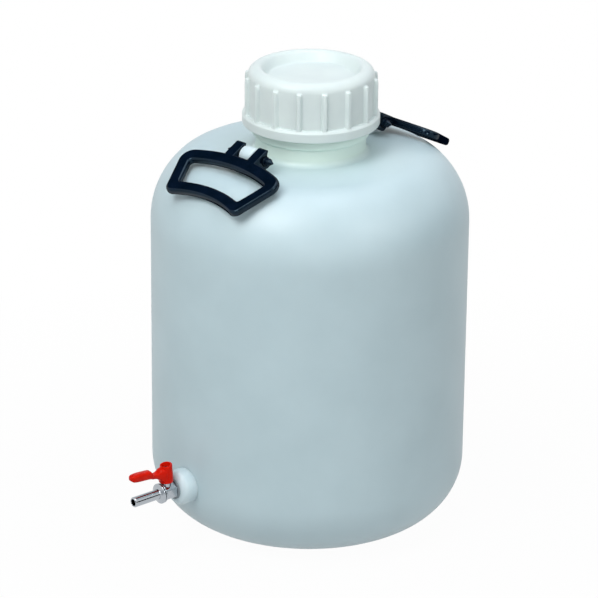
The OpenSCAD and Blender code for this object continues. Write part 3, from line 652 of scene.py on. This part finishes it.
# A hexagonal bar along X. Its radius is half the flats over the cosine, capped at the slightly blunt corners
# and by the cone that its ends are turned to.
def hexBarX(p, x0, x1, around=144, steps=6):
    flat = p["hexAF"] / 2
    a = roundSteps(around)
    off = (a + np.pi / 6) % (np.pi / 3) - np.pi / 6
    bevel = np.linspace(0, p["hexChamfer"], steps)
    x = np.concatenate([[x0, x0], x0 + bevel, x1 - bevel[::-1], [x1, x1]])
    cone = flat * p["hexFace"] + np.minimum(x - x0, x1 - x) * p["hexCone"]
    r = np.minimum(np.minimum(flat / np.cos(off), flat * p["hexSharp"]), cone[None])
    r[:, 0] = r[:, -1] = 0
    return np.stack([x[None] + 0 * a, r * np.cos(a), r * np.sin(a)], -1)


# The boss as (along, radius): a small fillet at the wall and a large round at its face.
def bossOutline(p):
    root = p["wallX"] - p["bossRoot"]
    return filletPath([(root, 0), (root, p["bossR"] + p["bossFillet"]),
                       (p["wallX"] - p["bossFoot"], p["bossR"], p["bossFootR"]),
                       (p["bossFace"], p["bossR"], p["bossEdge"]), (p["bossFace"], 0)], p["bossStep"])


# A plain disc or post as (along, radius), from x0 to x1, with its outer edges eased.
def discOutline(p, x0, x1, r):
    return filletPath([(x0, 0), (x0, r, p["edge"]), (x1, r, p["edge"]), (x1, 0)], p["arcStep"])


# The nipple as (along, radius): a groove, the collar's ring and its cone, the plain tube and its bored mouth.
def nippleOutline(p):
    x0 = p["hexOut"]
    ring, tube = x0 + p["groove"], x0 + p["collarW"]
    end, grooveR = tube + p["nippleL"], p["collarR"] - p["grooveDeep"]
    return filletPath([
        (x0, 0), (x0, grooveR), (ring, grooveR, p["grooveEdge"]), (ring, p["collarR"], p["edge"]),
        (ring + p["ringW"], p["collarR"], p["ringEdge"]), (tube, p["nippleR"], p["nippleRoot"]),
        (end - p["nippleChamfer"], p["nippleR"], p["edge"]),
        (end, p["nippleR"] - p["mouthIn"], p["mouthEdge"]), (end, p["nippleBore"], p["mouthEdge"]),
        (tube, p["nippleBore"]), (tube, 0)], p["arcStep"])


# The stem's neck: a post carried round X, then stood up by trading X for Z.
def neckPost(p):
    post = filletPath([(0, 0), (0, p["neckR"]), (p["neckTop"], p["neckR"], p["edge"]), (p["neckTop"], 0)],
                      p["arcStep"])
    return turnedX(post, p["neckAround"])[..., [2, 1, 0]] * np.array([-1, 1, 1])


# A nickel-plated piece of the spigot from its grid in spigot coordinates.
def platedPiece(name, grid, *nodes):
    stands(gridSurface(name, onSpigot(spigot, grid), nickel), "plated_brass", *nodes)


bossGrid = onSpigot(spigot, turnedX(bossOutline(spigot), spigot["bossAround"]))
stands(gridSurface("outletBoss", bossGrid, thickHdpe), "bottle_plastic")
flangeIn = spigot["hexOut"] - spigot["flangeW"]
barOut = spigot["hexOut"] - spigot["flangeW"] / 2  # the bar ends within the flange
platedPiece("valveBar", hexBarX(spigot, spigot["hexIn"], barOut), "valve_body")
platedPiece("valveFlange", turnedX(discOutline(spigot, flangeIn, spigot["hexOut"], spigot["flangeR"])))
platedPiece("valveNeck", neckPost(spigot))
platedPiece("nippleBar", turnedX(nippleOutline(spigot)), "hose_nipple")


lever = dict(
    hubR=6.6, hubTopR=5.6, hubLow=9.8, hubRound=1.0, straight=14.8, waist=6.0, hubTop=27.7, rim=0.6,
    slant=9.0, recessR=4.2, recessEdge=0.5, recessDraft=0.3, recessFloor=22.2, recessFoot=0.6, hubStep=12,
    # sections of the arm and the paddle: how far out, the top's and the underside's height, half the width
    keys=[-1.0, 1.0, 3.0, 4.6, 6.4, 8.4, 11.0, 14.0, 16.8,
          17.8, 19.2, 24.0, 33.0, 37.6, 39.8, 40.7, 41.0],
    top=[21.0, 22.5, 24.0, 24.6, 24.5, 23.2, 22.0, 21.6, 22.2,
         24.6, 26.3, 26.8, 27.4, 27.2, 26.6, 25.6, 24.6],
    low=[12.0, 11.0, 10.4, 10.4, 11.8, 14.0, 16.0, 17.0, 17.5,
         17.8, 18.4, 18.9, 19.6, 20.3, 21.6, 22.6, 23.4],
    half=[3.0, 5.2, 6.0, 5.6, 4.9, 4.4, 3.9, 3.7, 3.8,
          4.1, 4.3, 4.3, 4.3, 4.0, 3.1, 1.9, 1.0],
    power=0.6, crowd=0.12,  # how square the sections are, and how much closer they stand at the ends
)


# Values between keys by cubic pieces. A key's slope is the harmonic mean of its neighbours', level at a turn.
def easedKeys(x, keys, values):
    k, v = np.array(keys), np.array(values)
    d = np.diff(v) / np.diff(k)
    product = d[:-1] * d[1:]
    inside = np.where(product > 0, 2 * product / (d[:-1] + d[1:] + 1e-12), 0)  # never divides by nought
    m = np.concatenate([[d[0]], inside, [d[-1]]])
    i = np.clip(np.searchsorted(k, x) - 1, 0, len(k) - 2)
    h = k[i + 1] - k[i]
    t = (x - k[i]) / h
    return ((2 * t**3 - 3 * t**2 + 1) * v[i] + (t**3 - 2 * t**2 + t) * h * m[i]
            + (3 * t**2 - 2 * t**3) * v[i + 1] + (t**3 - t**2) * h * m[i + 1])


# Rounded-square sections along the arm and paddle, their top, underside and width eased between keys.
def leverArm(k, sections=150, around=96):
    s = np.linspace(0, 1, sections)
    x = k["keys"][0] + (k["keys"][-1] - k["keys"][0]) * (s - k["crowd"] * np.sin(2 * np.pi * s) / (2 * np.pi))
    top, low, half = (easedKeys(x, k["keys"], k[q]) for q in ("top", "low", "half"))
    t = roundSteps(around)[:, 0]
    y = half[:, None] * signedPower(np.cos(t), k["power"])[None]
    z = (top + low)[:, None] / 2 + (top - low)[:, None] / 2 * signedPower(np.sin(t), k["power"])[None]
    return closedEnds(np.stack([x[:, None] + 0 * y, y, z], -1))


# A barrel turned about the stem, narrower above, with the screw's recess; over the recess's floor the height
# falls off along X, so that the top leans towards the paddle.
def leverHub(k, around=96):
    profile = filletPath([
        (0, k["hubLow"]), (k["hubR"], k["hubLow"], k["hubRound"]), (k["hubR"], k["straight"], k["waist"]),
        (k["hubTopR"], k["hubTop"], k["rim"]), (k["recessR"], k["hubTop"], k["recessEdge"]),
        (k["recessR"] - k["recessDraft"], k["recessFloor"], k["recessFoot"]),
        (0, k["recessFloor"])], k["hubStep"])
    a = roundSteps(around)
    r, z = profile[:, 0][None], profile[:, 1][None]
    x, y = r * np.cos(a), r * np.sin(a)
    lean = np.clip((z - k["recessFloor"]) / (k["hubTop"] - k["recessFloor"]), 0, 1)
    return np.stack([x, y, z - (x + k["hubTopR"]) * np.tan(np.radians(k["slant"])) * lean], -1)


hub = gridSurface("leverHub", onSpigot(spigot, leverHub(lever)), red, body="tap")
stands(hub, "red_enamel", "lever")
arm = gridSurface("leverArm", onSpigot(spigot, leverArm(lever)), red, body="tap", wrap="v")
stands(arm, "red_enamel")
print("spigot done")


# Solids that show as they are, or only inside, get their finishes.
finishes = dict(
    cap_gasket=foam, boss_seal=silicone, valve_ball=nickel, inlet_seat=ptfe, outlet_seat=ptfe,
    valve_stem=steel, stem_washer=ptfe, stem_seal=rubber, gland_nut=brass, lever_screw=steel,
    nipple_seal=rubber,
)
for node, mat in finishes.items():
    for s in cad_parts[node].material_slots:
        s.material = mat


camera = dict(
    place=(2.0398, -2.0830, 1.3786), aim=(-0.0050, -0.0081, 0.2068), roll=0.565,
    lens=205.7, sensor=36, reach=50,
)
lampAim = (0, 0, 0.22)
lamps = [
    dict(name="mainLamp", place=(0.15, -1.05, 1.5), size=0.9, power=14.5, colour="FFFFFF"),
    dict(name="fillLamp", place=(1.9, -1.7, 0.9), size=0.6, power=9, colour="FFFFFF"),
    dict(name="sideLamp", place=(1.7, 0.15, 1.45), size=0.45, power=6.5, colour="FFFFFF"),
    dict(name="topLamp", place=(0.1, 0.1, 1.7), size=1.0, power=6.5, colour="EEF3FF"),
]
cards = [
    dict(name="farCard", place=(2.6, -2.6, 1.5), aim=(0, 0, 0.1), size=(3.2, 2.4), colour="202428"),
    dict(name="lowCard", place=(1.5, 1.3, 0.42), aim=(0, -0.2, 0.1), size=(2.4, 0.8), colour="101418"),
    dict(name="highCard", place=(-1.0, 0.1, 1.45), aim=(0, -0.1, 0.35), size=(1.2, 1.2), colour="202428"),
]
world = dict(ambient=0.5, tint="F4F8FA")
ground = dict(half=6.0, drop=0.0002, paint=0.6, shadowR=0.2, whiteR=0.6, shadowGlow=0.97)  # metres and shares


# Columns right, up and back for something at place that looks at aim, rolled by degrees about its view.
def aimedMatrix(place, aim, roll=0.0):
    back = (Vector(place) - Vector(aim)).normalized()
    right = Vector((0, 0, 1)).cross(back).normalized()
    up = back.cross(right)
    a = np.radians(roll)
    right, up = right * np.cos(a) + up * np.sin(a), up * np.cos(a) - right * np.sin(a)
    m = Matrix((right, up, back)).transposed().to_4x4()
    m.translation = Vector(place)
    return m


# The scene's camera, aimed and rolled as its dictionary says.
def addCamera(c):
    data = bpy.data.cameras.new("camera")
    data.lens, data.sensor_width = c["lens"], c["sensor"]
    data.clip_end = c["reach"]
    cam = bpy.data.objects.new("camera", data)
    bpy.context.collection.objects.link(cam)
    cam.matrix_world = aimedMatrix(c["place"], c["aim"], c["roll"])
    bpy.context.scene.camera = cam


# A round area lamp that looks at the bottle.
def addLamp(k):
    data = bpy.data.lights.new(k["name"], "AREA")
    data.shape, data.size, data.energy = "DISK", k["size"], k["power"]
    data.color = linearColour(k["colour"])[:3]
    lamp = bpy.data.objects.new(k["name"], data)
    bpy.context.collection.objects.link(lamp)
    lamp.matrix_world = aimedMatrix(k["place"], lampAim)


# 1 on rays from the camera, off mirrors or through glass, 0 on the rest: the largest of the three.
def seenDirectly(tree):
    path = addNode(tree, "ShaderNodeLightPath")
    first = addNode(tree, "ShaderNodeMath", {"operation": "MAXIMUM"},
                    {0: path.outputs["Is Camera Ray"], 1: path.outputs["Is Glossy Ray"]})
    both = addNode(tree, "ShaderNodeMath", {"operation": "MAXIMUM"},
                   {0: first.outputs[0], 1: path.outputs["Is Transmission Ray"]})
    return both.outputs[0]


# Plain white where it is seen directly, a dimmer tint where it only lights.
def whiteWorld(w):
    scene = bpy.context.scene
    scene.world = scene.world or bpy.data.worlds.new("world")
    scene.world.use_nodes = True
    tree = scene.world.node_tree
    tree.nodes.clear()
    dim = addNode(tree, "ShaderNodeBackground", {"Color": linearColour(w["tint"]), "Strength": w["ambient"]})
    white = addNode(tree, "ShaderNodeBackground", {"Color": (1, 1, 1, 1), "Strength": 1.0})
    mix = addNode(tree, "ShaderNodeMixShader", None,
                  {0: seenDirectly(tree), 1: dim.outputs[0], 2: white.outputs[0]})
    addNode(tree, "ShaderNodeOutputWorld", None, {"Surface": mix.outputs[0]})


# A rectangle of the given half sides about its own middle.
def flatPiece(name, halfX, halfY, z, mat):
    mesh = bpy.data.meshes.new(name)
    mesh.from_pydata([(-halfX, -halfY, z), (halfX, -halfY, z), (halfX, halfY, z), (-halfX, halfY, z)], [],
                     [(0, 1, 2, 3)])
    mesh.materials.append(mat)
    flat = bpy.data.objects.new(name, mesh)
    bpy.context.collection.objects.link(flat)
    return flat


# A wide plane at the bottle's foot: pale diffuse, with white mixed in where the camera sees it. Near the
# bottle the white's share is a little lower, which leaves the shadow.
def paleFloor(k):
    mat, tree = newMaterial("paleFloor")
    paint = addNode(tree, "ShaderNodeBsdfDiffuse", {"Color": (k["paint"], k["paint"], k["paint"], 1)})
    glow = addNode(tree, "ShaderNodeEmission", {"Color": (1, 1, 1, 1), "Strength": 1.0})
    coord = addNode(tree, "ShaderNodeTexCoord").outputs["Object"]
    away = addNode(tree, "ShaderNodeVectorMath", {"operation": "LENGTH"}, {"Vector": coord})
    glowShare = addNode(tree, "ShaderNodeMapRange", {"From Min": k["shadowR"], "From Max": k["whiteR"],
                                                     "To Min": k["shadowGlow"], "To Max": 1.0},
                        {"Value": away.outputs["Value"]})
    share = addNode(tree, "ShaderNodeMath", {"operation": "MULTIPLY"},
                    {0: seenDirectly(tree), 1: glowShare.outputs["Result"]})
    mix = addNode(tree, "ShaderNodeMixShader", None,
                  {0: share.outputs[0], 1: paint.outputs[0], 2: glow.outputs[0]})
    addNode(tree, "ShaderNodeOutputMaterial", None, {"Surface": mix.outputs[0]})
    floor = flatPiece("floor", k["half"], k["half"], cadBox[0][2] - k["drop"], mat)


# A dark card outside the picture, there for what is shiny to mirror.
def addCard(k):
    mat, tree = newMaterial(k["name"])
    paint = addNode(tree, "ShaderNodeBsdfDiffuse", {"Color": linearColour(k["colour"])})
    addNode(tree, "ShaderNodeOutputMaterial", None, {"Surface": paint.outputs[0]})
    card = flatPiece(k["name"], k["size"][0] / 2, k["size"][1] / 2, 0, mat)
    card.matrix_world = aimedMatrix(k["place"], k["aim"])


addCamera(camera)
for k in cards:
    addCard(k)
for k in lamps:
    addLamp(k)
whiteWorld(world)
paleFloor(ground)
bpy.context.scene.view_settings.view_transform = "Standard"
print("camera, light and floor done")
